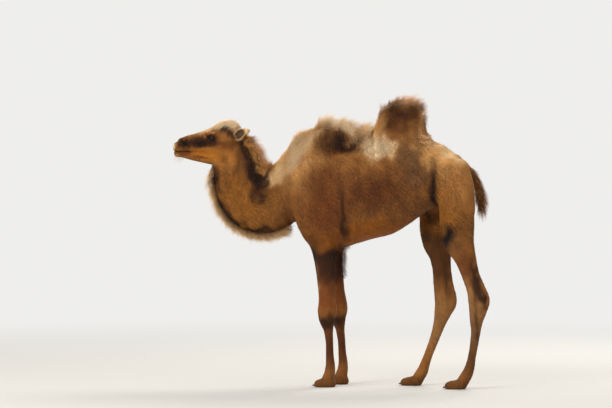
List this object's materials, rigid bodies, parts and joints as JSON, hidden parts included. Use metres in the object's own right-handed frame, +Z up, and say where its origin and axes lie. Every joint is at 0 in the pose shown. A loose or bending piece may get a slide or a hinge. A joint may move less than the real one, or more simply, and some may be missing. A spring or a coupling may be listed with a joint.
{
  "type": "two-humped camel",
  "caption": "Still, life-size model of a young two-humped camel, standing with its head held level and its neck in a deep curve.",
  "frame": {"origin": "on the floor, under the middle of the animal's bounding box", "axes": "+Z up, the head points along -X, the animal's left side faces -Y"},
  "size_m": [2.1213, 0.5145, 1.8623],
  "materials": {
    "coat": "short dry summer coat, tawny brown",
    "dark_coat": "longer dark brown hair",
    "face_coat": "very short hair on the face",
    "leg_coat": "short hair, brown with a grey cast",
    "horn": "dark horn, worn dull",
    "eye": "wet, nearly black brown"
  },
  "bodies": {
    "root": {"head": "face_coat", "ear_left": "dark_coat", "ear_right": "dark_coat", "eye_left": "eye", "eye_right": "eye", "neck_upper": "coat", "neck_lower": "coat", "trunk": "coat", "hump_front": "coat", "hump_rear": "coat", "tail": "coat", "front_leg_left_upper": "dark_coat", "front_leg_left_lower": "leg_coat", "front_leg_left_foot": "leg_coat", "front_leg_left_nail_outer": "horn", "front_leg_left_nail_inner": "horn", "front_leg_right_upper": "dark_coat", "front_leg_right_lower": "leg_coat", "front_leg_right_foot": "leg_coat", "front_leg_right_nail_outer": "horn", "front_leg_right_nail_inner": "horn", "hind_leg_left_thigh": "coat", "hind_leg_left_upper": "coat", "hind_leg_left_lower": "leg_coat", "hind_leg_left_foot": "leg_coat", "hind_leg_left_nail_outer": "horn", "hind_leg_left_nail_inner": "horn", "hind_leg_right_thigh": "coat", "hind_leg_right_upper": "coat", "hind_leg_right_lower": "leg_coat", "hind_leg_right_foot": "leg_coat", "hind_leg_right_nail_outer": "horn", "hind_leg_right_nail_inner": "horn"}
  },
  "joints": []
}
